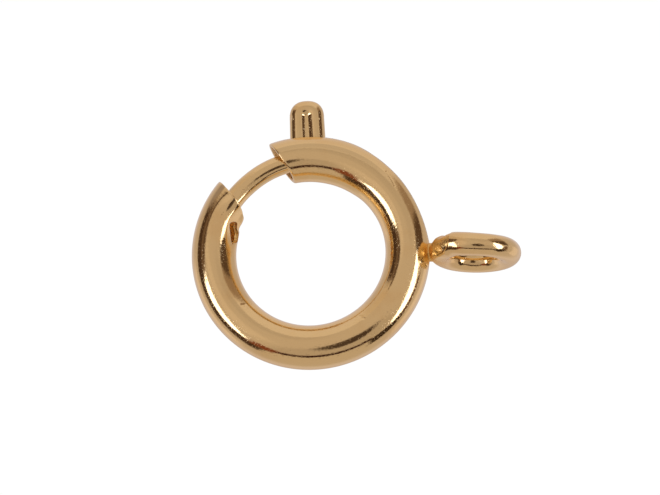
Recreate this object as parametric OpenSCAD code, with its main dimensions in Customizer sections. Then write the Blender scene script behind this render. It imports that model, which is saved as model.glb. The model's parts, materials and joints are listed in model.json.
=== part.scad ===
// Spring ring clasp: a bent hollow tube with an oblique gap, a sprung
// wire bolt that closes the gap, and an end loop soldered on edge.
// Millimetres. The clasp lies on a surface, as it rests by itself: the
// left of the tube and the bottom of the end loop touch the surface.
// Angles run counter-clockwise round the ring, from the end loop at 0.

/* [Ring tube] */
// Outside diameter of the ring
ring_od = 12.0; // [11.5:0.1:13]
// Outside diameter of the bent tube
tube_d = 2.24; // [2.14:0.02:2.4]
// Wall thickness of the tube
wall_t = 0.20; // [0.15:0.01:0.24]

/* [Gap] */
// Direction of the normal of the cut at the sprung end, in degrees
mouth_az = 34.8; // [30:0.2:40]
// Distance of that cut from the ring's centre
mouth_off = 1.41; // [1.2:0.01:1.6]
// Lean of that cut out of the ring's axis, in degrees
mouth_lean = -2.2; // [-5:0.1:5]
// Direction of the normal of the cut at the catch end, in degrees
catch_az = 37.9; // [33:0.2:42]
// Distance of that cut from the ring's centre
catch_off = 1.53; // [1.4:0.01:1.65]
// Lean of that cut out of the ring's axis, in degrees
catch_lean = -8.2; // [-10:0.1:5]

/* [Catch window] */
// Direction in which the window in the inner wall faces, in degrees
win_az = 166.8; // [164:0.2:169]
// Depth of the cut for the window, from the inner equator
win_depth = 0.98; // [0.8:0.02:1.05]

/* [Lever slot] */
// Width of the slot in the outer wall
slot_w = 1.06; // [1.0:0.02:1.2]
// Where the slot starts, near the mouth, in degrees
slot_from = 101.8; // [101.4:0.1:102.4]
// Where the slot ends, in degrees
slot_to = 20; // [16:1:28]

/* [Bolt and thumb lever] */
// Diameter of the bolt's wire
bolt_d = 1.00; // [0.9:0.02:1.1]
// How far the bolt runs inside the tube's centreline
bolt_in = 0.07; // [0:0.01:0.1]
// Where the bolt's tip stands when the clasp is shut, in degrees
bolt_tip = 153; // [152:0.5:154]
// Where the bolt's tail ends, in degrees
bolt_tail = 70; // [66:1:76]
// Direction of the thumb lever, in degrees
lever_az = 92.1; // [91:0.1:92.4]
// Radius from the ring's centre to the top of the lever
lever_top = 7.90; // [7.4:0.05:8.4]
// Diameter of the lever's two wire legs
leg_d = 0.86; // [0.8:0.02:0.9]
// Distance between the axes of the two legs
leg_pitch = 0.81; // [0.7:0.01:0.84]

/* [End loop] */
// Outside diameter of the loop
loop_od = 4.67; // [4.2:0.01:5]
// Diameter of the loop's wire
loop_wire = 1.20; // [1.0:0.05:1.3]
// How deep the loop is let into the ring's outline
loop_sunk = 0.09; // [0.06:0.01:0.12]
// Diameter of the solder between the loop and the tube
solder_d = 0.90; // [0.8:0.02:0.94]

/* [Spring] */
// Diameter of the spring's wire
spring_wire = 0.20; // [0.16:0.01:0.22]
// Mean radius of the coils
spring_r = 0.56; // [0.52:0.01:0.6]
// Number of coils
spring_coils = 16; // [10:1:18]
// Where the stop for the spring's end stands, in degrees
stop_az = -54; // [-60:1:-40]

/* [Rest] */
// Roll towards the lever's side as the clasp lies, in degrees
rest_roll = -0.78; // [-1.2:0.02:0]

/* [Hidden] */
$fn = 96;

tube_r = tube_d / 2;
bore_r = tube_r - wall_t;
ring_r = ring_od / 2 - tube_r;          // radius of the tube's centreline
bolt_r = ring_r - bolt_in;              // radius of the bolt's centreline
loop_r = (loop_od - loop_wire) / 2;     // radius of the loop's centreline
loop_x = ring_od / 2 + loop_od / 2 - loop_sunk;

// The clasp tips about the far left of the tube until the loop's bottom
// meets the surface.
rest_tilt = asin((loop_od / 2 - tube_r) / (loop_x + ring_r));

// The ring's axis and the direction of the lever, as the clasp lies
ring_n = [-sin(rest_tilt), -sin(rest_roll) * cos(rest_tilt), cos(rest_roll) * cos(rest_tilt)];
dir_x = [cos(rest_tilt), -sin(rest_roll) * sin(rest_tilt), cos(rest_roll) * sin(rest_tilt)];
dir_y = [0, cos(rest_roll), sin(rest_roll)];
lever_dir = cos(lever_az) * dir_x + sin(lever_az) * dir_y;

// How far a ring of wire reaches along one axis of the frame
function reach(r, w, n, i) = r * sqrt(1 - n[i] * n[i]) + w;

// Where the top bend of the lever has its centre
bend_c = lever_top - leg_d / 2 - leg_pitch / 2;

// The frame's origin is under the middle of the clasp, on the surface.
low_x = -reach(ring_r, tube_r, ring_n, 0);
high_x = loop_x * dir_x[0] + reach(loop_r, loop_wire / 2, dir_y, 0);
low_y = -reach(ring_r, tube_r, ring_n, 1);
high_y = bend_c * lever_dir[1] + reach(leg_pitch / 2, leg_d / 2, ring_n, 1);
rise = max(reach(ring_r, tube_r, ring_n, 2),
           reach(loop_r, loop_wire / 2, dir_y, 2) - loop_x * dir_x[2]);

module as_it_lies() {
    translate([-(low_x + high_x) / 2, -(low_y + high_y) / 2, rise])
        rotate([rest_roll, 0, 0]) rotate([0, -rest_tilt, 0]) children();
}

// A bent round bar from one angle to another
module bent_bar(radius, d, from, to) {
    rotate([0, 0, from]) rotate_extrude(angle = to - from)
        translate([radius, 0]) circle(d = d);
}

// A block whose face is the plane of a cut: side 1 keeps what lies beyond
// the face, side -1 what lies before it
module cut_block(az, off, lean, side) {
    rotate([0, -lean, az])
        translate([side > 0 ? off - 1.7 : off, 2.2, -2.5]) cube([1.7, 5.6, 5]);
}

// Outline of the window: azimuth and height on the inner wall
win_rows = [
    // azimuth, height
    [161.3,  0.93],
    [158.6,  0.64],
    [155.0,  0.05],
    [156.2, -0.55],
    [160.0, -0.74],
    [166.5, -0.50],
    [171.0,  0.10],
    [174.9,  0.62],
    [167.9,  0.80],
];
// Radius of the inner wall at a height
function wall_at(z) = ring_r - sqrt(tube_r * tube_r - z * z);
win_outline = [for (w = win_rows) [wall_at(w[1]) * sin(w[0] - win_az), w[1]]];

module window_cut() {
    rotate([0, 0, win_az]) rotate([90, 0, 90])
        translate([0, 0, ring_r - tube_r - 0.6])
            linear_extrude(height = 0.6 + win_depth) polygon(win_outline);
}

module slot_cut() {
    rotate([0, 0, slot_to]) rotate_extrude(angle = slot_from - slot_to)
        translate([ring_r, -slot_w / 2]) square([tube_r + 0.6, slot_w]);
}

// A dimple punched in from the near side, on which the spring's end stands
module spring_stop() {
    rotate([0, 0, stop_az]) translate([ring_r, 0, 0]) rotate([0, -19, 0])
        translate([0, 0, spring_r]) cylinder(d = 0.34, h = tube_r - wall_t / 2 - spring_r);
}

module end_loop() {
    translate([loop_x, 0, 0]) rotate([90, 0, 0])
        rotate_extrude() translate([loop_r, 0]) circle(d = loop_wire);
}

// Solder between the tube's wall and the loop
module solder() {
    translate([ring_od / 2 - 0.14, 0, 0]) rotate([0, 90, 0])
        cylinder(d = solder_d, h = 0.40);
}

module ring_body() {
    color([0.83, 0.64, 0.36]) as_it_lies() {
        difference() {
            bent_bar(ring_r, tube_d, 138 - 360, 113);
            rotate_extrude() translate([ring_r, 0]) circle(r = bore_r);
            cut_block(mouth_az, mouth_off, mouth_lean, 1);
            cut_block(catch_az, -catch_off, catch_lean, -1);
            window_cut();
            slot_cut();
        }
        spring_stop();
        end_loop();
        solder();
    }
}

// The lever is the bolt's own wire, bent out through the slot, over and back.
module lever() {
    rotate([0, 0, lever_az]) {
        for (s = [-1, 1])
            translate([bolt_r, s * leg_pitch / 2, 0]) rotate([0, 90, 0])
                cylinder(d = leg_d, h = bend_c - bolt_r);
        translate([bend_c, 0, 0]) rotate([0, 0, -90]) rotate_extrude(angle = 180)
            intersection() {
                translate([leg_pitch / 2, 0]) circle(d = leg_d);
                translate([0, -leg_d]) square([2 * leg_d, 2 * leg_d]);
            }
    }
}

module bolt() {
    color([0.80, 0.60, 0.32]) as_it_lies() {
        bent_bar(bolt_r, bolt_d, bolt_tail, bolt_tip);
        lever();
    }
}

// The spring: a round wire coiled along the ring's arc, close at both ends
coil_sides = 6;
coil_steps = 12;
deg_mm = 180 / PI;
spring_a = stop_az + (0.17 + spring_wire / 2 + 0.04) / ring_r * deg_mm;
spring_b = bolt_tail - (spring_wire / 2 + 0.04) / bolt_r * deg_mm;
coil_n = spring_coils * coil_steps;
// Pitch of the first and the last turn, as a share of the whole length
end_pitch = spring_wire * 1.2 / ((spring_b - spring_a) / deg_mm * ring_r);
mid_pitch = (1 - 2 * end_pitch) / (spring_coils - 2);
function coil_share(t) = t < 1 ? t * end_pitch
    : t > spring_coils - 1 ? 1 - (spring_coils - t) * end_pitch
    : end_pitch + (t - 1) * mid_pitch;
// Centre of the wire after t turns
function coil_at(t) = let(a = spring_a + (spring_b - spring_a) * coil_share(t),
                          q = 360 * t, rr = ring_r - bolt_in / 2 + spring_r * cos(q))
    [rr * cos(a), rr * sin(a), spring_r * sin(q)];
function unit(v) = v / norm(v);
// One ring of points round the wire
function coil_ring(i) = let(t = i / coil_steps,
        c = coil_at(t),
        d = unit(coil_at(t + 0.01) - coil_at(t - 0.01)),
        a = spring_a + (spring_b - spring_a) * coil_share(t), q = 360 * t,
        u = unit([cos(q) * cos(a), cos(q) * sin(a), sin(q)]),
        v = unit(cross(d, u)), w = cross(v, d))
    [for (k = [0 : coil_sides - 1]) let(g = 360 * k / coil_sides)
        c + spring_wire / 2 * (cos(g) * w + sin(g) * v)];
coil_points = [for (i = [0 : coil_n]) each coil_ring(i)];
coil_faces = concat(
    [[for (k = [coil_sides - 1 : -1 : 0]) k]],
    [for (i = [0 : coil_n - 1]) for (k = [0 : coil_sides - 1])
        let(k2 = (k + 1) % coil_sides, p = i * coil_sides, s = p + coil_sides)
        each [[p + k, p + k2, s + k2], [p + k, s + k2, s + k]]],
    [[for (k = [0 : coil_sides - 1]) coil_n * coil_sides + k]]);

module spring() {
    color([0.72, 0.70, 0.66]) as_it_lies()
        polyhedron(points = coil_points, faces = coil_faces, convexity = 10);
}

ring_body();
bolt();
spring();
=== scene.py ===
import json
import math

import bpy
import numpy as np
from mathutils import Matrix, Vector


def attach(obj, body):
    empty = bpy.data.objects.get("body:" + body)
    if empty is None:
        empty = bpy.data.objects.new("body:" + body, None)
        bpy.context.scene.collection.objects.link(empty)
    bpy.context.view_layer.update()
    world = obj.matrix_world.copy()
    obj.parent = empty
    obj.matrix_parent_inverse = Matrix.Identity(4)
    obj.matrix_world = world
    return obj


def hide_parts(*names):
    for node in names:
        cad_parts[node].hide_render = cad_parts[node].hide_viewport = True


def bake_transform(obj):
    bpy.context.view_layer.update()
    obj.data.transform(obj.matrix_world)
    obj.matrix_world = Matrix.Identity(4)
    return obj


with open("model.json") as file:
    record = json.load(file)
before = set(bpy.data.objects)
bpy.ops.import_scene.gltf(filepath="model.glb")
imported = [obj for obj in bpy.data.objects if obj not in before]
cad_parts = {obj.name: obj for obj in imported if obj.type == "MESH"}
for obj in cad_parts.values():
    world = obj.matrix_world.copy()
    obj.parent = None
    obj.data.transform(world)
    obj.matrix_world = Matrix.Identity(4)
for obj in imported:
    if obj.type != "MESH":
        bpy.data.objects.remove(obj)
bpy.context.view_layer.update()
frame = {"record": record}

scene = bpy.context.scene

# ---------------------------------------------------------------- the ring's own frame
# x from the ring's centre to the end loop, z along the ring's axis towards the viewer,
# millimetres; angles run counter-clockwise from the end loop.
mounts = {m["name"]: m for m in frame["record"]["mounts"]}
centre = np.array(mounts["hook_opening"]["pos_m"], float)
ez = np.array(mounts["hook_opening"]["axis"], float)
ez /= np.linalg.norm(ez)
ex = np.array(mounts["chain_eye"]["pos_m"], float) - centre
ex -= ez * (ex @ ez)
ex /= np.linalg.norm(ex)
ey = np.cross(ez, ex)
AXES = np.array([ex, ey, ez])


def to_world(p):
    return centre + (np.asarray(p, float) @ AXES) * 0.001


RING_R, TUBE_R, WALL = 4.88, 1.12, 0.20
BOLT_R, BOLT_W = 4.81, 0.50
LEVER_AZ, LEVER_TOP, LEG_W, LEG_HALF = 92.1, 7.98, 0.445, 0.425
LOOP_X, LOOP_R, LOOP_W = 8.245, 1.735, 0.60


def smooth(x, a, b):
    t = np.clip((x - a) / (b - a), 0.0, 1.0)
    return t * t * (3.0 - 2.0 * t)


def smin(a, b, k):
    h = np.clip(0.5 + 0.5 * (b - a) / k, 0.0, 1.0)
    return b + (a - b) * h - k * h * (1.0 - h)


def smax(a, b, k):
    return -smin(-a, -b, k)


def curve(x, xs, ys):
    """Smooth line through the points, level beyond both ends."""
    xs, ys = np.asarray(xs, float), np.asarray(ys, float)
    slope = np.gradient(ys, xs)
    slope[0] = slope[-1] = 0.0
    i = np.clip(np.searchsorted(xs, x) - 1, 0, len(xs) - 2)
    h = xs[i + 1] - xs[i]
    t = np.clip((x - xs[i]) / h, 0.0, 1.0)
    return (2 * t**3 - 3 * t**2 + 1) * ys[i] + (t**3 - 2 * t**2 + t) * h * slope[i] + (3 * t**2 - 2 * t**3) * ys[i + 1] + (t**3 - t**2) * h * slope[i + 1]


def bump_at(x, middle, half):
    """1 at the middle, falling smoothly to 0 at half either side."""
    t = np.clip(1.0 - np.abs(x - middle) / half, 0.0, 1.0)
    return t * t * (3.0 - 2.0 * t)


# ---------------------------------------------------------------- meshes
def make_object(name, points, faces, normals=None):
    mesh = bpy.data.meshes.new(name)
    sizes = np.array([len(f) for f in faces], np.int32)
    flat = np.concatenate([np.asarray(f, np.int32) for f in faces]) if not isinstance(faces, np.ndarray) else faces.ravel().astype(np.int32)
    mesh.vertices.add(len(points))
    mesh.vertices.foreach_set("co", to_world(points).astype(np.float32).ravel())
    mesh.loops.add(len(flat))
    mesh.loops.foreach_set("vertex_index", flat)
    mesh.polygons.add(len(sizes))
    starts = np.concatenate([[0], np.cumsum(sizes)[:-1]]).astype(np.int32)
    mesh.polygons.foreach_set("loop_start", starts)
    mesh.polygons.foreach_set("loop_total", sizes)
    mesh.update(calc_edges=True)
    mesh.validate()
    mesh.polygons.foreach_set("use_smooth", np.ones(len(mesh.polygons), bool))
    if normals is not None:
        world = normals @ AXES
        mesh.normals_split_custom_set_from_vertices([tuple(v) for v in world])
    made = bpy.data.objects.new(name, mesh)
    scene.collection.objects.link(made)
    return made


def grid_points(low, high, step):
    low, high = np.asarray(low, float), np.asarray(high, float)
    count = np.ceil((high - low) / step).astype(int) + 1
    return low, count


def mesh_field(field, low, high, step):
    """Closed mesh of field = 0: one point in each cell that the surface crosses, moved onto the surface."""
    low, n = grid_points(low, high, step)
    axes = [low[k] + step * np.arange(n[k]) for k in range(3)]
    value = np.empty(tuple(n), np.float32)
    gy, gz = np.meshgrid(axes[1], axes[2], indexing="ij")
    for i, x in enumerate(axes[0]):
        value[i] = field(np.stack([np.full_like(gy, x), gy, gz], -1))
    inside = value < 0
    cells = np.array(n) - 1
    total = np.zeros((int(np.prod(cells)), 3))
    hits = np.zeros(int(np.prod(cells)), int)
    quads = []
    stride = np.array([cells[1] * cells[2], cells[2], 1])
    for a in range(3):
        b, c = (a + 1) % 3, (a + 2) % 3
        first = [slice(None)] * 3
        second = [slice(None)] * 3
        first[a], second[a] = slice(0, -1), slice(1, None)
        change = inside[tuple(first)] != inside[tuple(second)]
        idx = np.argwhere(change)
        v0 = value[tuple(idx.T)]
        nxt = idx.copy()
        nxt[:, a] += 1
        v1 = value[tuple(nxt.T)]
        t = v0 / (v0 - v1)
        pos = low + step * idx
        pos[:, a] += step * t
        around = []
        for db, dc in ((0, 0), (-1, 0), (-1, -1), (0, -1)):
            cell = idx.copy()
            cell[:, b] += db
            cell[:, c] += dc
            around.append(cell)
        ids = np.stack([cell @ stride for cell in around], 1)
        for k in range(4):
            np.add.at(total, ids[:, k], pos)
            np.add.at(hits, ids[:, k], 1)
        flip = v0 >= 0
        ids[flip] = ids[flip][:, ::-1]
        quads.append(ids)
    quads = np.concatenate(quads)
    used = np.flatnonzero(hits)
    points = total[used] / hits[used][:, None]
    index = np.full(len(hits), -1)
    index[used] = np.arange(len(used))
    quads = index[quads]

    def slope(p, e=1e-4):
        g = np.empty_like(p)
        for k in range(3):
            d = np.zeros(3)
            d[k] = e
            g[:, k] = (field(p + d) - field(p - d)) / (2 * e)
        return g

    for _ in range(4):
        g = slope(points)
        move = field(points)[:, None] * g / np.maximum((g * g).sum(1), 0.05)[:, None]
        size = np.linalg.norm(move, axis=1, keepdims=True)
        points = points - move * np.minimum(1.0, 0.5 * step / np.maximum(size, 1e-9))
    g = slope(points, 0.002)
    return points, quads, g / np.linalg.norm(g, axis=1, keepdims=True)


# ---------------------------------------------------------------- tube
# The two oblique cuts: direction of the normal, distance from the centre, lean
MOUTH = (34.8, 1.41, -2.2)
CATCH = (37.9, -1.365, 0.4)


# Edges of the face pressed flat behind the catch end: azimuth, near edge, far edge (section angles)
PRESSED = np.array([
    (147.0, 39.0, 78.0),
    (150.0, 36.0, 85.0),
    (153.5, 32.0, 92.0),
    (157.0, 30.0, 100.0),
    (161.0, 29.8, 103.0),
    (164.0, 31.0, 98.0),
    (168.0, 34.0, 90.0),
    (174.0, 37.0, 76.0),
    (179.0, 41.0, 64.0),
    (184.0, 46.0, 52.0),
])
# How near to the ring's centre the wall reaches there: azimuth, distance
FLANK = np.array([
    (144.0, 3.93),
    (150.0, 3.905),
    (153.0, 3.855),
    (155.7, 3.862),
    (158.4, 3.895),
    (160.0, 3.895),
    (162.0, 3.855),
    (167.6, 3.785),
    (172.0, 3.755),
    (178.0, 3.70),
])
# How much flatter the bent tube is on its inner flank
DENT = np.array([
    (-212.0, 0.090),
    (-200.0, 0.094),
    (-188.0, 0.080),
    (-181.0, 0.060),
    (-172.0, 0.056),
    (-160.0, 0.048),
    (-146.0, 0.040),
    (-120.0, 0.034),
    (-60.0, 0.034),
    (-20.0, 0.042),
    (20.0, 0.058),
    (60.0, 0.064),
    (104.0, 0.058),
])


def lift(az):
    """How far the mouth end is bent outwards."""
    return curve(az, [56.0, 70.0, 80.0, 92.0, 104.0, 112.0], [0.0, 0.022, 0.032, 0.050, 0.068, 0.075])


def growth(az):
    """How much the mouth end is widened."""
    return curve(az, [46.0, 54.0, 62.0, 78.0, 92.0, 104.0, 112.0], [0.0, 0.018, 0.033, 0.042, 0.030, 0.020, 0.018])


def cut_azimuth(psi, cut, radius, out=0.0):
    az, off, lean = cut
    lean = math.radians(lean)
    rho = RING_R + out - radius * np.sin(psi)
    z = radius * np.cos(psi)
    return az + np.degrees(np.arccos((off - math.sin(lean) * z) / (math.cos(lean) * rho)))


def recess(deg):
    """How many degrees the inner side of the catch end is cut back."""
    return curve(deg, [20.0, 40.0, 50.0, 60.0, 65.0, 70.0, 75.0, 80.0, 85.0, 90.0, 95.0, 100.0, 105.0, 112.0, 122.0, 134.0, 152.0, 180.0], [-0.2, 0.2, 0.2, 0.3, 0.6, 1.1, 1.6, 1.8, 1.9, 2.6, 5.8, 9.2, 11.2, 12.0, 11.4, 9.0, 4.4, 0.0]) * (deg > 20.0) * (deg < 180.0)


def section_radius(az, psi):
    """Radius of the tube's section, with azimuths from the catch end (-213) to the mouth (111)."""
    deg = np.degrees(psi) % 360.0
    signed = (deg + 180.0) % 360.0 - 180.0
    dent = curve(az, DENT[:, 0], DENT[:, 1])

    def level(x):
        return TUBE_R - dent * smooth(x, 4.0, 50.0) * (1.0 - smooth(x, 49.0, 96.0))

    radius = growth(az) + level(signed)
    # the face pressed flat behind the catch end
    a = az + 360.0
    near = curve(a, PRESSED[:, 0], PRESSED[:, 1])
    far = curve(a, PRESSED[:, 0], PRESSED[:, 2])
    share = (np.sin(np.radians(far - deg)) / level(near) + np.sin(np.radians(deg - near)) / level(far)) / np.sin(np.radians(far - near))
    chord = 1.0 / np.maximum(share, 0.2)
    pressed = smin(radius, chord, 0.010 + 0.020 * smooth(a, 160.0, 172.0))
    radius = radius + (pressed - radius) * (1.0 - smooth(a, 181.0, 187.0)) * (deg > near - 25.0) * (deg < far + 25.0)
    reach = (RING_R - curve(a, FLANK[:, 0], FLANK[:, 1])) / np.maximum(np.sin(psi), 0.25)
    radius = radius + (smin(radius, reach, 0.02) - radius) * (1.0 - smooth(a, 172.0, 177.0)) * bump_at(signed, 92.0, 100.0) ** 0.05
    # the rim there is flared on its near side
    from_rim = np.radians(a - cut_azimuth(psi, CATCH, TUBE_R)) * RING_R
    open_out = np.clip(1.0 - from_rim / (1.35 + 1.25 * (1.0 - smooth(signed, -30.0, 5.0))), 0.0, 1.0) ** 2
    radius = radius + 0.20 * open_out * bump_at(signed, 15.0, 55.0) * (a < 180.0)
    # both rims are buffed over
    to_mouth = np.radians(cut_azimuth(psi, MOUTH, TUBE_R + growth(az), lift(az)) - az) * RING_R
    return radius - 1.5 * (np.clip(0.14 - from_rim, 0.0, 0.14) ** 2 + np.clip(0.14 - to_mouth, 0.0, 0.14) ** 2)


def tube_point(az, psi, depth):
    radius = section_radius(az, psi) - depth
    a = np.radians(az)
    rho = RING_R + lift(az) - radius * np.sin(psi)
    return np.stack([rho * np.cos(a), rho * np.sin(a), radius * np.cos(psi)], -1)


def closed_curve(rows, count):
    """Smooth closed curve through the rows."""
    rows = np.asarray(rows, float)
    m = len(rows)
    out = []
    for i in range(m):
        p0, p1, p2, p3 = rows[(i - 1) % m], rows[i], rows[(i + 1) % m], rows[(i + 2) % m]
        t = np.linspace(0, 1, count, endpoint=False)[:, None]
        out.append(0.5 * (2 * p1 + (p2 - p0) * t + (2 * p0 - 5 * p1 + 4 * p2 - p3) * t**2 + (3 * p1 - p0 - 3 * p2 + p3) * t**3))
    return np.concatenate(out)


# Window in the inner wall: azimuth, section angle
WINDOW = closed_curve([
    (161.4, 39.5),
    (159.9, 42.0),
    (158.4, 51.0),
    (156.9, 62.0),
    (155.9, 72.0),
    (157.6, 79.0),
    (160.3, 86.0),
    (162.0, 95.0),
    (164.6, 101.0),
    (167.6, 100.0),
    (169.9, 94.0),
    (172.3, 78.5),
    (173.5, 68.0),
    (174.3, 64.0),
    (170.5, 57.5),
    (166.7, 50.5),
    (163.6, 43.0),
], 10) - np.array([360.0, 0.0])
# Slot in the outer wall for the lever: azimuth, half its width as a section angle
SLOT_FROM = 101.8
edge = [(SLOT_FROM, 12.0), (101.4, 19.0), (100.4, 23.6), (98.5, 24.9), (80.0, 25.1), (71.0, 25.7), (64.0, 27.7), (57.0, 31.2), (48.0, 32.6), (36.0, 33.0), (25.0, 32.0), (18.0, 28.4), (11.5, 22.0), (6.5, 14.5), (4.2, 7.0)]
SLOT = closed_curve([(a, 270.0 + h) for a, h in edge] + [(a, 270.0 - h) for a, h in reversed(edge)], 6)


def inside_curve(points, curve):
    x, y = points[..., 0], points[..., 1]
    inside = np.zeros(x.shape, bool)
    for p, q in zip(curve, np.roll(curve, -1, 0)):
        cross = (p[1] > y) != (q[1] > y)
        with np.errstate(divide="ignore", invalid="ignore"):
            at = (q[0] - p[0]) * (y - p[1]) / (q[1] - p[1]) + p[0]
        inside ^= cross & (x < at)
    return inside


def nearest_on(points, curve, weight):
    best = np.full(len(points), 1e18)
    out = points.copy()
    for p, q in zip(curve, np.roll(curve, -1, 0)):
        d = (q - p) * weight
        t = np.clip((((points - p) * weight) @ d) / (d @ d), 0, 1)
        at = p + (q - p) * t[:, None]
        dist = (((points - at) * weight) ** 2).sum(1)
        take = dist < best
        best[take] = dist[take]
        out[take] = at[take]
    return out


RIM = 0.050          # how far a cut edge is rounded


def build_tube():
    first, last = -212.7, 107.0
    cols = [first, first + 0.3, first + 0.6, first + 0.9, first + 1.25, first + 1.6, first + 2.0, first + 2.4]
    while cols[-1] < -178.0:
        cols.append(cols[-1] + 0.42)
    step = 0.42
    while cols[-1] < last - 2.2:
        step = min(step * 1.12, 1.3)
        cols.append(cols[-1] + step)
    cols = [c for c in cols if c < last - 3.2] + [last - 2.8, last - 2.3, last - 1.9, last - 1.5, last - 1.15, last - 0.8, last - 0.55, last - 0.3, last]
    cols = np.array(cols)
    rows = list(np.arange(0.0, 12.0, 4.0)) + list(np.arange(12.0, 140.0, 2.0)) + list(np.arange(140.0, 360.0, 4.0))
    rows = np.array(rows)
    nu, nv = len(cols), len(rows)
    az = np.repeat(cols[:, None], nv, 1)
    psi = np.repeat(rows[None, :], nu, 0)
    faces = np.array([(i * nv + j, i * nv + (j + 1) % nv, (i + 1) * nv + (j + 1) % nv, (i + 1) * nv + j) for i in range(nu - 1) for j in range(nv)])
    flat = np.stack([az.ravel(), psi.ravel()], 1)
    middle = np.stack([np.repeat((cols[:-1] + cols[1:])[:, None] / 2, nv, 1).ravel(), np.repeat(((rows + np.roll(rows, -1) + np.where(np.arange(nv) == nv - 1, 360, 0)) / 2)[None, :], nu - 1, 0).ravel()], 1)
    keep = ~(inside_curve(middle, WINDOW) | inside_curve(middle, SLOT))
    faces = faces[keep]

    # the holes' rims: directed edges that only one face uses
    def rim_loops():
        edges = {}
        for f in faces:
            for k in range(4):
                a, b = int(f[k]), int(f[(k + 1) % 4])
                if (b, a) in edges:
                    del edges[(b, a)]
                else:
                    edges[(a, b)] = 1
        following = {a: b for a, b in edges}
        loops = []
        while following:
            a = next(iter(following))
            loop = []
            while a in following:
                loop.append(a)
                a = following.pop(a)
            loops.append(loop)
        return loops

    loops = rim_loops()
    ends = [l for l in loops if all(v < nv for v in l) or all(v >= (nu - 1) * nv for v in l)]
    holes = [l for l in loops if l not in ends]
    weight = np.array([0.07, 0.0195])
    around = {}
    for f in faces:
        for k in range(4):
            a, b = int(f[k]), int(f[(k + 1) % 4])
            around.setdefault(a, set()).add(b)
            around.setdefault(b, set()).add(a)
    for loop in holes:
        curve = WINDOW if flat[loop[0], 0] < -150 else SLOT
        flat[loop] = nearest_on(flat[loop], curve, weight)
        ring, seen = set(loop), set(loop)
        near = []
        for depth in range(4):
            ring = {b for a in ring for b in around[a]} - seen
            seen |= ring
            near += sorted(ring)
        order = np.array(loop)
        for _ in range(30):
            target = (flat[np.roll(order, 1)] + flat[np.roll(order, -1)]) / 2
            flat[order] = nearest_on(flat[order] * 0.5 + target * 0.5, curve, weight)
            new = np.array([flat[list(around[v])].mean(0) for v in near])
            flat[near] = flat[near] * 0.5 + new * 0.5

    # the sheared ends
    def place(depth):
        out = flat.copy()
        psi_r = np.radians(flat[:, 1])
        back = RIM / RING_R * 57.3
        at_catch = cut_azimuth(psi_r, CATCH, TUBE_R - depth) - 360.0 + back - first
        at_catch += recess(flat[:, 1])
        at_mouth = cut_azimuth(psi_r, MOUTH, TUBE_R + float(growth(last)) - depth, float(lift(last))) - back - last
        out[:, 0] += at_catch * np.clip(1.0 - (flat[:, 0] - first) / 17.0, 0.0, 1.0) + at_mouth * np.clip(1.0 - (last - flat[:, 0]) / 14.0, 0.0, 1.0)
        return out

    outer_uv, inner_uv = place(0.0), place(WALL)
    outer = tube_point(outer_uv[:, 0], np.radians(outer_uv[:, 1]), 0.0)
    inner = tube_point(inner_uv[:, 0], np.radians(inner_uv[:, 1]), WALL)
    count = len(flat)
    points = [outer, inner]
    bore = [np.zeros(count), np.ones(count)]        # 0 on the polished outside, 1 where it is left raw
    polys = [faces, faces[:, ::-1] + count]
    total = 2 * count
    steps = 8
    for loop in loops:
        loop = np.array(loop)
        is_end = len(loop) == nv and (np.all(loop < nv) or np.all(loop >= (nu - 1) * nv))
        po, pi = outer[loop], inner[loop]
        across = po - pi
        along = np.roll(po, -1, 0) - np.roll(po, 1, 0)
        if is_end:
            a = np.radians(outer_uv[loop, 0])
            side = 1.0 if loop[0] >= nv else -1.0
            out_dir = side * np.stack([-np.sin(a), np.cos(a), 0 * a], -1)
            reach, power = RIM, 2.4
            polished = np.full(len(loop), 0.5)
        else:
            out_dir = np.cross(along, across)
            out_dir /= np.linalg.norm(out_dir, axis=1, keepdims=True)
            at_window = flat[loop, 0] < -150
            reach, power = 0.035, 2.2
            polished = np.where(at_window, 0.35 * (1.0 - smooth(flat[loop, 1], 60.0, 75.0)), 0.84)
        bands = [loop]
        for k in range(1, steps):
            g = math.pi * k / steps
            c = math.copysign(abs(math.cos(g)) ** (2 / power), math.cos(g))
            s = math.sin(g) ** (2 / power)
            points.append((po + pi) / 2 + across / 2 * c + out_dir * reach * s)
            bore.append(smooth(k / steps, polished - 0.01, polished + 0.15))
            bands.append(total + np.arange(len(loop)))
            total += len(loop)
        bands.append(loop + count)
        for p, q in zip(bands, bands[1:]):
            polys.append(np.stack([p, q, np.roll(q, -1), np.roll(p, -1)], 1))
    return np.concatenate(points), np.concatenate(polys), np.concatenate(bore)


tube_points, tube_faces, tube_bore = build_tube()
tube = make_object("ring_tube", tube_points, tube_faces)
tube.data.attributes.new("bore", "FLOAT", "POINT").data.foreach_set("value", tube_bore.astype(np.float32))


# The punched stop inside the tube, on which the spring's end stands
def stop_field(p):
    a = math.radians(-54.0)
    c, s = math.cos(a), math.sin(a)
    x, y, z = p[..., 0] * c + p[..., 1] * s - RING_R, -p[..., 0] * s + p[..., 1] * c, p[..., 2]
    t = math.radians(19.0)
    u, w = x * math.cos(t) + z * math.sin(t), -x * math.sin(t) + z * math.cos(t)
    body = np.sqrt(u * u + y * y) - 0.17
    return smax(smax(body, w - 1.02, 0.05), 0.56 - w, 0.08)


pt, qd, nm = mesh_field(stop_field, (-0.6 + RING_R * math.cos(math.radians(-54)), -0.6 + RING_R * math.sin(math.radians(-54)), 0.3), (0.6 + RING_R * math.cos(math.radians(-54)), 0.6 + RING_R * math.sin(math.radians(-54)), 1.3), 0.03)
stop = make_object("spring_stop", pt, qd, nm)


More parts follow.
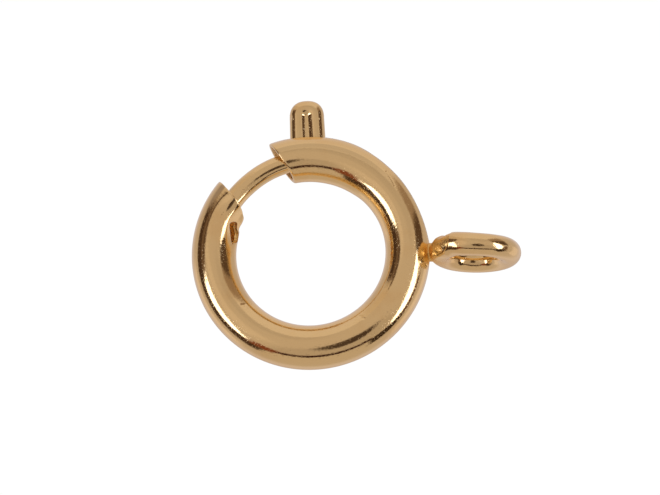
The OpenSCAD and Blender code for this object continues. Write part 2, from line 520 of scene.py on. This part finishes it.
# ---------------------------------------------------------------- end loop and solder
def wave(p, scale, seed):
    """Sum of a few sines that don't repeat over the piece, about -1 to 1."""
    x, y, z = p[..., 0] * scale, p[..., 1] * scale, p[..., 2] * scale
    s = seed
    return (np.sin(x * 1.7 + y * 1.1 + s) + np.sin(y * 2.3 - z * 1.3 + 2.1 * s) + np.sin(z * 1.9 + x * 0.9 + 3.7 * s) + np.sin((x + y + z) * 1.45 + 5.3 * s)) / 3.0


def loop_field(p):
    x, y, z = p[..., 0] - LOOP_X, p[..., 1], p[..., 2]
    rad = np.sqrt(x * x + z * z)
    ang = np.degrees(np.arctan2(z, x))          # 0 away from the ring, 90 on the near side
    seam = 121.0 + 1.2 * smooth(y / LOOP_W, 0.3, 0.9) + 13.0 * smooth(-y / LOOP_W, 0.1, 0.9)
    turn = np.where(ang < -140.0, ang + 360.0, ang)
    shift = curve(turn, [-140.0, -90.0, -30.0, 20.0, 60.0, 80.0, 105.0, 128.0, 131.0, 180.0, 220.0], [0.03, 0.03, 0.01, -0.02, -0.05, -0.048, -0.005, 0.045, 0.03, 0.0, 0.03])
    joined = smooth(turn, seam, seam + 8.0) * (1.0 - smooth(turn, 160.0, 185.0))
    wire = curve(turn, [-140.0, -90.0, -30.0, 0.0, 30.0, 60.0, 84.0, 108.0, 128.0], [0.596, 0.596, 0.597, 0.597, 0.590, 0.571, 0.571, 0.598, 0.597])
    wire = wire - 0.034 * smooth(turn, seam, seam + 2.2) * (1.0 - smooth(turn, 185.0, 225.0))
    wire = wire + joined * (0.008 * wave(p, 5.0, 1.3) + 0.003 * wave(p, 11.0, 4.1))
    ring = np.sqrt((rad - LOOP_R) ** 2 + (y - shift) ** 2) - wire
    # solder between the loop and the tube
    rho = np.sqrt(p[..., 0] ** 2 + p[..., 1] ** 2)
    wall = np.sqrt((rho - RING_R) ** 2 + z * z) - (TUBE_R - 0.035)
    near = np.sqrt((p[..., 0] - 6.0) ** 2 + y * y + z * z) - 0.62
    wall = smax(wall, near, 0.05)
    blob = np.sqrt((p[..., 0] - 6.70) ** 2 + (y - 0.085) ** 2 + (z - 0.70) ** 2) - 0.583 + 0.006 * wave(p, 9.0, 3.3)
    ring = smin(ring, blob, 0.08)
    plug = np.sqrt((y - 0.02) ** 2 + z * z) - 0.47 + 0.015 * wave(p, 8.0, 2.7)
    plug = smax(plug, np.abs(p[..., 0] - 6.08) - 0.2, 0.05)
    return smin(smin(ring, plug, 0.06), wall, 0.07)


pt, qd, nm = mesh_field(loop_field, (5.2, -0.85, -2.5), (10.75, 0.85, 2.5), 0.034)
loop = make_object("end_loop", pt, qd, nm)


# ---------------------------------------------------------------- bolt and thumb lever
def bolt_field(p):
    x, y, z = p[..., 0], p[..., 1], p[..., 2]
    rho = np.sqrt(x * x + y * y)
    az = np.degrees(np.arctan2(y, x))
    tip, tail = 153.0 - math.degrees(BOLT_W * 0.8 / BOLT_R), 70.0
    along = np.maximum(np.radians(az - tip) * BOLT_R, 0.0)
    line = BOLT_R + curve(az, [92.0, 105.0, 118.0, 130.0, 150.0], [0.085, 0.075, 0.060, 0.033, 0.030])
    wire = np.sqrt((rho - line) ** 2 + z * z + (along / 0.8) ** 2) - BOLT_W
    wire = smax(wire, np.radians(tail - az) * BOLT_R, 0.10)
    # the lever: across is along the bolt, up is away from the ring's centre
    a = math.radians(LEVER_AZ)
    up = x * math.cos(a) + y * math.sin(a)
    across = x * math.sin(a) - y * math.cos(a) + 0.04
    bend = LEVER_TOP - LEG_W - LEG_HALF
    drop = np.clip(bend - up, 0.0, 1.4)
    left = -LEG_HALF - 0.004 * drop
    right = LEG_HALF + 0.040 * drop
    # one bent wire: two legs and the half turn over them
    over = np.maximum(up - bend, 0.0)
    leg_l = np.sqrt((across - left) ** 2 + z * z) - LEG_W
    leg_r = np.sqrt((across - right) ** 2 + z * z) - LEG_W
    turned = (np.abs(across) ** 2.35 + over**2.35 + 0.0001) ** (1.0 / 2.35)
    top = np.sqrt((turned - LEG_HALF) ** 2 + z * z) - LEG_W
    lever = np.where(up > bend, top, smin(leg_l, leg_r, 0.02))
    # the groove between the legs is filled to a shallow channel
    inward = np.where(up > bend, turned, np.abs(across - (left + right) / 2.0))
    fill = smax(np.abs(z) - (0.300 + inward**2 / 0.66), inward - 0.22, 0.03)
    lever = smin(lever, fill, 0.035)
    lever = smax(lever, BOLT_R - up, 0.04)
    # a shallow nick in the left leg
    nick = np.sqrt((across + 0.80) ** 2 + ((up - 7.08) / 1.5) ** 2 + (z - 0.22) ** 2)
    lever = lever + 0.022 * np.clip(1.0 - nick / 0.16, 0.0, 1.0)
    return smin(wire, lever, 0.10)


pt, qd, nm = mesh_field(bolt_field, (-4.9, 1.6, -0.6), (2.3, 8.1, 0.6), 0.031)
bolt = make_object("bolt_wire", pt, qd, nm)


# ---------------------------------------------------------------- spring
def build_spring():
    wire_r, mean_r, coils, sides, steps = 0.10, 0.56, 16, 12, 40
    a0 = -54.0 + math.degrees((0.17 + wire_r + 0.04) / RING_R)
    a1 = 70.0 - math.degrees((wire_r + 0.04) / BOLT_R)
    share_end = 2 * wire_r * 1.2 / (math.radians(a1 - a0) * RING_R)
    share_mid = (1 - 2 * share_end) / (coils - 2)
    t = np.linspace(0, coils, coils * steps + 1)

    def at(t):
        share = np.where(t < 1, t * share_end, np.where(t > coils - 1, 1 - (coils - t) * share_end, share_end + (t - 1) * share_mid))
        a = np.radians(a0 + (a1 - a0) * share)
        q = 2 * math.pi * t
        rho = RING_R - 0.035 + mean_r * np.cos(q)
        return np.stack([rho * np.cos(a), rho * np.sin(a), mean_r * np.sin(q)], -1), a, q

    c, a, q = at(t)
    d = at(t + 0.01)[0] - at(t - 0.01)[0]
    d /= np.linalg.norm(d, axis=1, keepdims=True)
    u = np.stack([np.cos(q) * np.cos(a), np.cos(q) * np.sin(a), np.sin(q)], -1)
    v = np.cross(d, u)
    v /= np.linalg.norm(v, axis=1, keepdims=True)
    w = np.cross(v, d)
    g = 2 * math.pi * np.arange(sides) / sides
    rings = c[:, None, :] + wire_r * (np.cos(g)[None, :, None] * w[:, None, :] + np.sin(g)[None, :, None] * v[:, None, :])
    n = len(t)
    tip0, tip1 = c[0] - d[0] * wire_r * 0.35, c[-1] + d[-1] * wire_r * 0.35
    cap0 = c[0] - d[0] * wire_r * 0.3 + (rings[0] - c[0]) * 0.72
    cap1 = c[-1] + d[-1] * wire_r * 0.3 + (rings[-1] - c[-1]) * 0.72
    pts = np.concatenate([cap0[None], rings, cap1[None]]).reshape(-1, 3)
    pts = np.concatenate([pts, [tip0, tip1]])
    faces = []
    for i in range(n + 1):
        for k in range(sides):
            k2 = (k + 1) % sides
            faces.append((i * sides + k, i * sides + k2, (i + 1) * sides + k2, (i + 1) * sides + k))
    e0, e1 = len(pts) - 2, len(pts) - 1
    for k in range(sides):
        faces.append((e0, (k + 1) % sides, k))
        faces.append((e1, (n + 1) * sides + k, (n + 1) * sides + (k + 1) % sides))
    ends = [RING_R - 0.035, 0, 0]
    start = (ends[0] * math.cos(math.radians(a0)), ends[0] * math.sin(math.radians(a0)), 0.0)
    end = (ends[0] * math.cos(math.radians(a1)), ends[0] * math.sin(math.radians(a1)), 0.0)
    return pts, faces, to_world(start), to_world(end)


spring_points, spring_faces, spring_start, spring_end = build_spring()
spring = make_object("coil_spring", spring_points, spring_faces)


# ---------------------------------------------------------------- node helpers
class Graph:
    def __init__(self, tree):
        self.tree = tree
        tree.nodes.clear()

    def node(self, kind, **values):
        made = self.tree.nodes.new(kind)
        for key, value in values.items():
            setattr(made, key, value)
        return made

    def link(self, out, into):
        self.tree.links.new(out, into)

    def put(self, socket, value):
        if isinstance(value, bpy.types.NodeSocket):
            self.link(value, socket)
        else:
            socket.default_value = value

    def math(self, operation, a, b=None, c=None, clamp=False):
        made = self.node("ShaderNodeMath", operation=operation, use_clamp=clamp)
        self.put(made.inputs[0], a)
        if b is not None:
            self.put(made.inputs[1], b)
        if c is not None:
            self.put(made.inputs[2], c)
        return made.outputs[0]

    def dot(self, a, b):
        made = self.node("ShaderNodeVectorMath", operation="DOT_PRODUCT")
        self.put(made.inputs[0], a)
        made.inputs[1].default_value = tuple(b)
        return made.outputs["Value"]

    def distance(self, a, b):
        made = self.node("ShaderNodeVectorMath", operation="DISTANCE")
        self.put(made.inputs[0], a)
        made.inputs[1].default_value = tuple(b)
        return made.outputs["Value"]

    def ramp(self, value, a, b, low=0.0, high=1.0, kind="SMOOTHSTEP"):
        made = self.node("ShaderNodeMapRange", interpolation_type=kind, clamp=True)
        self.put(made.inputs["Value"], value)
        made.inputs["From Min"].default_value = a
        made.inputs["From Max"].default_value = b
        made.inputs["To Min"].default_value = low
        made.inputs["To Max"].default_value = high
        return made.outputs["Result"]

    def mix(self, share, a, b, kind="MIX"):
        made = self.node("ShaderNodeMix", data_type="RGBA", blend_type=kind)
        self.put(made.inputs["Factor"], share)
        self.put(made.inputs[6], a if isinstance(a, bpy.types.NodeSocket) else (*a, 1.0))
        self.put(made.inputs[7], b if isinstance(b, bpy.types.NodeSocket) else (*b, 1.0))
        return made.outputs[2]

    def noise(self, vector, scale, detail=2.0, rough=0.5, seed=0.0):
        made = self.node("ShaderNodeTexNoise", noise_dimensions="4D")
        self.put(made.inputs["Vector"], vector)
        made.inputs["W"].default_value = seed
        made.inputs["Scale"].default_value = scale
        made.inputs["Detail"].default_value = detail
        made.inputs["Roughness"].default_value = rough
        return made.outputs["Fac"]

    def scale(self, vector, factor):
        made = self.node("ShaderNodeVectorMath", operation="SCALE")
        self.put(made.inputs[0], vector)
        made.inputs["Scale"].default_value = factor
        return made.outputs[0]


# ---------------------------------------------------------------- gold
JOINT = to_world((6.02, 0.0, 0.0))


def ring_coordinates(g, coord):
    """Azimuth and section angle in degrees, and the distance from the tube's centre line in millimetres."""
    shift = g.node("ShaderNodeVectorMath", operation="SUBTRACT")
    g.link(coord, shift.inputs[0])
    shift.inputs[1].default_value = tuple(centre)
    own = g.scale(shift.outputs[0], 1000.0)
    x, y, z = g.dot(own, ex), g.dot(own, ey), g.dot(own, ez)
    rho = g.math("SQRT", g.math("MULTIPLY_ADD", x, x, g.math("MULTIPLY", y, y)))
    inward = g.math("SUBTRACT", RING_R, rho)
    az = g.math("DEGREES", g.math("ARCTAN2", y, x))
    psi = g.math("DEGREES", g.math("ARCTAN2", inward, z))
    away = g.math("SQRT", g.math("MULTIPLY_ADD", inward, inward, g.math("MULTIPLY", z, z)))
    return az, psi, away


def gold(name, solder=0.0, marks=(), rubs=(), tube_shell=False):
    material = bpy.data.materials.new(name)
    material.use_nodes = True
    g = Graph(material.node_tree)
    coord = g.node("ShaderNodeTexCoord").outputs["Object"]
    mm = g.scale(coord, 1000.0)
    shader = g.node("ShaderNodeBsdfPrincipled")
    out = g.node("ShaderNodeOutputMaterial")
    g.link(shader.outputs[0], out.inputs[0])
    shader.inputs["Metallic"].default_value = 1.0
    shader.inputs["Coat Weight"].default_value = 1.0
    shader.inputs["Coat Roughness"].default_value = 0.06
    shader.inputs["Coat IOR"].default_value = 1.5

    # colour: thin clouds of tarnish
    cloud = g.noise(mm, 0.55, 3.0, 0.55, 3.1)
    colour = g.mix(g.ramp(cloud, 0.46, 0.72, 0.0, 0.55), GOLD, GOLD_DULL)
    # polish: hazy patches, and fine specks where it is pitted
    haze = g.noise(mm, 2.6, 3.0, 0.6, 8.4)
    rough = g.ramp(haze, 0.3, 0.75, 0.085, 0.135)
    speck = g.ramp(g.noise(mm, 13.0, 2.0, 0.5, 12.7), 0.60, 0.70, 0.0, 1.0)
    rough = g.math("MULTIPLY_ADD", speck, 0.10, rough)
    grain = g.noise(mm, 9.0, 3.0, 0.62, 1.7)
    height = g.math("MULTIPLY", grain, GRAIN)
    height = g.math("MULTIPLY_ADD", speck, -GRAIN * 0.6, height)
    peel = g.noise(mm, 1.3, 2.0, 0.5, 5.9)
    height = g.math("MULTIPLY_ADD", peel, 1.3, height)
    if tube_shell:
        az, psi, away = ring_coordinates(g, coord)
        # colour darkened over a field on the outer side beside the mouth
        darker_field = g.math("MULTIPLY", g.ramp(psi, -31.0, -28.5), g.ramp(psi, -22.0, -8.0, 1.0, 0.0))
        darker_field = g.math("MULTIPLY", darker_field, g.ramp(az, 25.0, 60.0))
        darker_field = g.math("MULTIPLY", darker_field, g.ramp(az, 112.0, 124.0, 1.0, 0.0))
        colour = g.mix(g.math("MULTIPLY", darker_field, 0.75), colour, tuple(0.74 * c for c in GOLD))
        # and a dark colour painted along the outer side of the catch end: a painted dark reflection that carries the
        # studio's dark band on to the rim
        painted_dark_band = g.math("MULTIPLY", g.ramp(psi, -48.0, -38.0), g.ramp(psi, -27.0, -20.0, 1.0, 0.0))
        painted_dark_band = g.math("MULTIPLY", painted_dark_band, g.ramp(az, 166.0, 152.0, 0.0, 1.0))
        painted_dark_band = g.math("MULTIPLY", painted_dark_band, g.ramp(az, 140.0, 143.0))
        colour = g.mix(g.math("MULTIPLY", painted_dark_band, 0.7), colour, (0.38, 0.24, 0.09))
        # the bore isn't polished
        bore = g.node("ShaderNodeAttribute", attribute_type="GEOMETRY", attribute_name="bore").outputs["Fac"]
        raw = g.mix(g.ramp(az, 20.0, 80.0), (1.0, 0.675, 0.225), (0.97, 0.74, 0.40))
        raw = g.mix(g.ramp(az, 118.0, 128.0), raw, (1.0, 0.675, 0.225))
        colour = g.mix(bore, colour, raw)
        rough = g.math("MULTIPLY_ADD", bore, 0.28, rough)
        g.link(g.math("MULTIPLY_ADD", bore, -0.5, 1.0), shader.inputs["Metallic"])
        g.link(g.math("SUBTRACT", 1.0, bore), shader.inputs["Coat Weight"])
    if solder:
        far = g.distance(coord, JOINT)
        edge = g.math("MULTIPLY_ADD", g.noise(mm, 3.5, 3.0, 0.6, 2.2), 0.0005, g.math("SUBTRACT", far, 0.00025))
        near = g.ramp(edge, 0.0005, 0.00125 if solder > 1.5 else 0.00095, 1.0, 0.0)
        if solder > 1.5:
            # up to the seam in the loop's wire, on its upper side
            shift = g.node("ShaderNodeVectorMath", operation="SUBTRACT")
            g.link(coord, shift.inputs[0])
            shift.inputs[1].default_value = tuple(to_world((LOOP_X, 0.0, 0.0)))
            own = g.scale(shift.outputs[0], 1000.0)
            turn = g.math("DEGREES", g.math("ARCTAN2", g.dot(own, ez), g.dot(own, ex)))
            over = g.math("MULTIPLY", g.ramp(turn, 120.5, 122.5), g.ramp(g.dot(own, ey), -0.30, -0.05))
            near = g.math("MAXIMUM", near, g.math("MULTIPLY", over, 0.8))
            lump = g.ramp(g.distance(coord, to_world((6.70, 0.085, 0.70))), 0.00060, 0.00072, 0.95, 0.0)
            near = g.math("MAXIMUM", near, lump)
            g.link(g.math("MULTIPLY_ADD", near, -0.85, 1.0), shader.inputs["Coat Weight"])
        colour = g.mix(g.math("MULTIPLY", near, 0.85 if solder > 1.5 else 0.5), colour, (0.93, 0.58, 0.165))
        rough = g.math("MULTIPLY_ADD", near, 0.30 if solder > 1.5 else 0.14, rough)
        crust = g.noise(mm, 4.5, 4.0, 0.65, 6.6)
        height = g.math("ADD", height, g.math("MULTIPLY", near, g.math("MULTIPLY", crust, 2.6 if solder > 1.5 else 0.5)))
    for place, size, depth in marks:
        d = g.distance(coord, place)
        height = g.math("ADD", height, g.ramp(d, 0.0, size, -depth, 0.0))
    for place, size in rubs:
        d = g.distance(coord, place)
        worn = g.ramp(g.math("MULTIPLY_ADD", g.noise(mm, 8.0, 3.0, 0.6, 15.3), size, d), size * 0.7, size * 1.5, 1.0, 0.0)
        rough = g.math("MULTIPLY_ADD", worn, 0.28, rough)
        height = g.math("ADD", height, g.math("MULTIPLY", worn, g.math("MULTIPLY", grain, 5.0)))
    bump = g.node("ShaderNodeBump")
    bump.inputs["Strength"].default_value = 1.0
    bump.inputs["Distance"].default_value = 0.0000040
    g.link(height, bump.inputs["Height"])
    g.link(bump.outputs[0], shader.inputs["Normal"])
    g.link(bump.outputs[0], shader.inputs["Coat Normal"])
    g.link(colour, shader.inputs["Base Color"])
    g.link(rough, shader.inputs["Roughness"])
    return material


def on_tube(az, psi):
    return to_world(tube_point(np.array(az), np.radians(np.array(psi)), 0.0))


def on_lever(across, up, z):
    """A place on the thumb lever, from its middle line, away from the ring's centre, towards the viewer."""
    a = math.radians(LEVER_AZ)
    return to_world((up * math.cos(a) + across * math.sin(a), up * math.sin(a) - across * math.cos(a), z))


GOLD, GOLD_DULL, GRAIN = (0.958, 0.704, 0.312), (0.900, 0.590, 0.215), 0.8
tube_gold = gold("gold_tube", solder=1.0, tube_shell=True, marks=(
    (on_tube(-52.6, 14.0), 0.00011, 3.6),
    (on_tube(-53.8, 19.0), 0.00013, 4.6),
    (on_tube(-52.8, 23.0), 0.00011, 3.6),
    (on_tube(-53.9, 27.0), 0.00011, 3.0),
    (on_tube(-138.8, 25.0), 0.00012, 2.6),
    (on_tube(-138.0, 28.5), 0.00013, 3.2),
    (on_tube(-137.9, 32.0), 0.00012, 2.6),
    *((on_tube(46.0 - 1.0 * k, -35.0 + 1.25 * k), 0.00009, 1.5) for k in range(10)),
    (on_tube(157.0, 12.0), 0.00007, 3.0),
    (on_tube(158.6, 11.3), 0.00007, 3.0),
    (on_tube(160.2, 10.6), 0.00006, 2.4),
))
loop_gold = gold("gold_loop", solder=2.0)
bolt_gold = gold("gold_bolt", rubs=(
    (on_lever(-0.72, 7.02, 0.30), 0.00014),
    (on_lever(0.60, 6.95, 0.36), 0.00006),
))


def spring_steel():
    material = bpy.data.materials.new("spring_wire")
    material.use_nodes = True
    g = Graph(material.node_tree)
    coord = g.node("ShaderNodeTexCoord").outputs["Object"]
    mm = g.scale(coord, 1000.0)
    shader = g.node("ShaderNodeBsdfPrincipled")
    out = g.node("ShaderNodeOutputMaterial")
    g.link(shader.outputs[0], out.inputs[0])
    shader.inputs["Metallic"].default_value = 1.0
    cloud = g.noise(mm, 3.0, 3.0, 0.6, 2.0)
    g.link(g.mix(cloud, (0.60, 0.57, 0.52), (0.46, 0.43, 0.39)), shader.inputs["Base Color"])
    g.link(g.ramp(g.noise(mm, 11.0, 2.0, 0.5, 4.0), 0.3, 0.7, 0.2, 0.34), shader.inputs["Roughness"])
    bump = g.node("ShaderNodeBump")
    bump.inputs["Distance"].default_value = 0.000002
    g.link(g.noise(mm, 14.0, 2.0, 0.5, 9.0), bump.inputs["Height"])
    g.link(bump.outputs[0], shader.inputs["Normal"])
    return material


tube.data.materials.append(tube_gold)
stop.data.materials.append(tube_gold)
loop.data.materials.append(loop_gold)
bolt.data.materials.append(bolt_gold)
spring.data.materials.append(spring_steel())

for piece in (tube, stop, loop):
    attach(piece, "ring")
    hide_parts("ring_body")
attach(bolt, "gate")
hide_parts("bolt")
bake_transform(spring)
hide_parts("spring")

# ---------------------------------------------------------------- studio
# Soft panels, as corners in azimuth and elevation seen from the clasp, their light, and the width of their soft edge
BASE = (0.53, 0.53, 0.53)
# The table's light: elevation below which it holds, its light, and the width of its soft edge
BELOW = [
    (-4.0, (0.515, 0.52, 0.535), 0.10),
    (-40.0, (0.64, 0.66, 0.70), 0.45),
    (-64.0, (0.56, 0.53, 0.46), 0.20),
]
PANELS = [
    # overhead and side fields
    ([(150, 42), (215, 42), (215, 66), (150, 66)], (0.62, 0.62, 0.62), 0.16),
    ([(40, 42), (110, 42), (110, 66), (40, 66)], (0.48, 0.48, 0.48), 0.14),
    ([(232, 22), (335, 22), (335, 56), (232, 62)], (0.455, 0.455, 0.455), 0.14),
    # pale panel behind, its fainter side
    ([(56, -40), (126, -40), (126, 14), (56, 14)], (0.64, 0.64, 0.64), 0.16),
    ([(56, 6), (124, 6), (124, 41), (56, 41)], (0.65, 0.66, 0.67), 0.035),
    ([(124, 2), (144, 2), (144, 41), (124, 41)], (0.56, 0.54, 0.50), 0.06),
    # dark gap on the right
    ([(14, 2), (56, 4), (56, 42), (18, 44)], (0.30, 0.255, 0.215), 0.16),
    ([(9, 2), (37, 6), (36, 42), (9, 46)], (0.092, 0.066, 0.048), 0.08),
    # dark gap and dark band on the left
    ([(144, -4), (180, -4), (180, 18), (173, 33), (162, 39), (149, 38), (144, 28)], (0.145, 0.110, 0.086), 0.09),
    ([(140, 29), (166, 29), (166, 38), (152, 38.5), (140, 37)], (0.085, 0.058, 0.042), 0.05),
    ([(146, -4), (156, -8), (206, -8), (233, -8), (236, 15), (147, 15)], (0.062, 0.041, 0.030), 0.09),
    # dark band on the right
    ([(306, -1), (327, -1), (3, 5), (0, 14), (306, 24)], (0.14, 0.095, 0.068), 0.08),
    ([(306, -1), (334, 0), (333, 18), (306, 24)], (0.036, 0.024, 0.016), 0.06),
    # card in front and the dark line over it
    ([(236, -30), (306, -30), (306, 20), (236, 20)], (0.52, 0.52, 0.51), 0.03),
    ([(236, 19), (308, 19), (308, 28.5), (236, 28.5)], (0.034, 0.010, 0.004), 0.02),
    ([(224, 13), (241, 14), (241, 32), (224, 33)], (0.20, 0.070, 0.034), 0.05),
    # floor in front of the softboxes
    ([(170, -22), (222, -22), (222, -42), (170, -42)], (0.71, 0.72, 0.75), 0.16),
    ([(325, -14), (15, -14), (15, -38), (325, -38)], (0.71, 0.72, 0.75), 0.16),
    # softboxes
    ([(325, 18.5), (337, 16.5), (353, 18), (8, 28), (19, 41), (19, 47.5), (357, 43.5), (325, 33.5)], (2.8, 2.8, 3.5), 0.015),
    ([(222, 21.5), (213, 17), (203, 15), (190, 14), (182, 15.5), (173, 34), (182, 35), (199, 33.5), (212, 29)], (2.8, 2.8, 3.5), 0.015),
]
CAMERA_SHADE = ((287.0, 67.0), 13.0, (0.065, 0.050, 0.042))


def direction(az, el):
    a, e = math.radians(az), math.radians(el)
    return np.array([math.cos(e) * math.cos(a), math.cos(e) * math.sin(a), math.sin(e)])


world = bpy.data.worlds.new("studio")
scene.world = world
world.use_nodes = True
g = Graph(world.node_tree)
look = g.node("ShaderNodeTexCoord").outputs["Generated"]


def warm(value):
    """The room's light is a little warm; the softboxes are white."""
    return value if value[0] > 1.0 else (value[0], value[1] * 0.85, value[2] * 0.83)


light = g.mix(1.0, warm(BASE), warm(BASE))
for level, value, soft in BELOW:
    edge = math.sin(math.radians(level))
    light = g.mix(g.ramp(g.dot(look, (0.0, 0.0, 1.0)), edge - soft / 2, edge + soft / 2, 1.0, 0.0), light, warm(value))
for corners, value, soft in PANELS:
    pts = [direction(*c) for c in corners]
    middle = np.mean(pts, 0)
    mask = None
    for p, q in zip(pts, pts[1:] + pts[:1]):
        normal = np.cross(p, q)
        if np.linalg.norm(normal) < 1e-6:
            continue
        normal /= np.linalg.norm(normal)
        if normal @ middle < 0:
            normal = -normal
        part = g.ramp(g.dot(look, normal), -soft / 2, soft / 2)
        mask = part if mask is None else g.math("MULTIPLY", mask, part)
    light = g.mix(mask, light, warm(value))
(caz, cel), wide, value = CAMERA_SHADE
mask = g.ramp(g.dot(look, direction(caz, cel)), math.cos(math.radians(wide + 2)), math.cos(math.radians(wide - 2)))
light = g.mix(mask, light, warm(value))
shine = g.node("ShaderNodeBackground")
g.link(light, shine.inputs["Color"])
plain = g.node("ShaderNodeBackground")
plain.inputs["Color"].default_value = (1.0, 1.0, 1.0, 1.0)
plain.inputs["Strength"].default_value = 1.02
pick = g.node("ShaderNodeMixShader")
g.link(g.node("ShaderNodeLightPath").outputs["Is Camera Ray"], pick.inputs[0])
g.link(shine.outputs[0], pick.inputs[1])
g.link(plain.outputs[0], pick.inputs[2])
out = g.node("ShaderNodeOutputWorld")
g.link(pick.outputs[0], out.inputs[0])

# Floor
floor_mesh = bpy.data.meshes.new("floor")
size = 1.2
floor_mesh.from_pydata([(-size, -size, -0.00002), (size, -size, -0.00002), (size, size, -0.00002), (-size, size, -0.00002)], [], [(0, 1, 2, 3)])
floor = bpy.data.objects.new("floor", floor_mesh)
floor.visible_glossy = False        # the table's light on the metal is the lower part of the studio
scene.collection.objects.link(floor)
paper = bpy.data.materials.new("floor_paper")
paper.use_nodes = True
g = Graph(paper.node_tree)
matt = g.node("ShaderNodeBsdfDiffuse")
matt.inputs["Color"].default_value = (0.90, 0.90, 0.91, 1.0)
glow = g.node("ShaderNodeEmission")
glow.inputs["Color"].default_value = (1.0, 1.0, 1.0, 1.0)
glow.inputs["Strength"].default_value = 1.02
pick = g.node("ShaderNodeMixShader")
g.link(g.node("ShaderNodeLightPath").outputs["Is Camera Ray"], pick.inputs[0])
g.link(matt.outputs[0], pick.inputs[1])
g.link(glow.outputs[0], pick.inputs[2])
out = g.node("ShaderNodeOutputMaterial")
g.link(pick.outputs[0], out.inputs[0])
floor.data.materials.append(paper)

# ---------------------------------------------------------------- camera
back = Vector((-0.0122, -0.2498, 0.9682)).normalized()
right = Vector((0.9998, 0.0141, 0.0162))
right = (right - back * right.dot(back)).normalized()
up = back.cross(right)
target = Vector(centre)
place = target + (right * 0.9648 + up * 0.3020 + back * 342.38) * 0.001
camera_data = bpy.data.cameras.new("camera")
camera_data.sensor_width = 36.0
camera_data.lens = 371.77
camera_data.clip_start, camera_data.clip_end = 0.01, 10.0
camera = bpy.data.objects.new("camera", camera_data)
camera.matrix_world = Matrix((
    (right.x, up.x, back.x, place.x),
    (right.y, up.y, back.y, place.y),
    (right.z, up.z, back.z, place.z),
    (0.0, 0.0, 0.0, 1.0),
))
scene.collection.objects.link(camera)
scene.camera = camera
scene.view_settings.view_transform = "Standard"
scene.view_settings.look = "None"
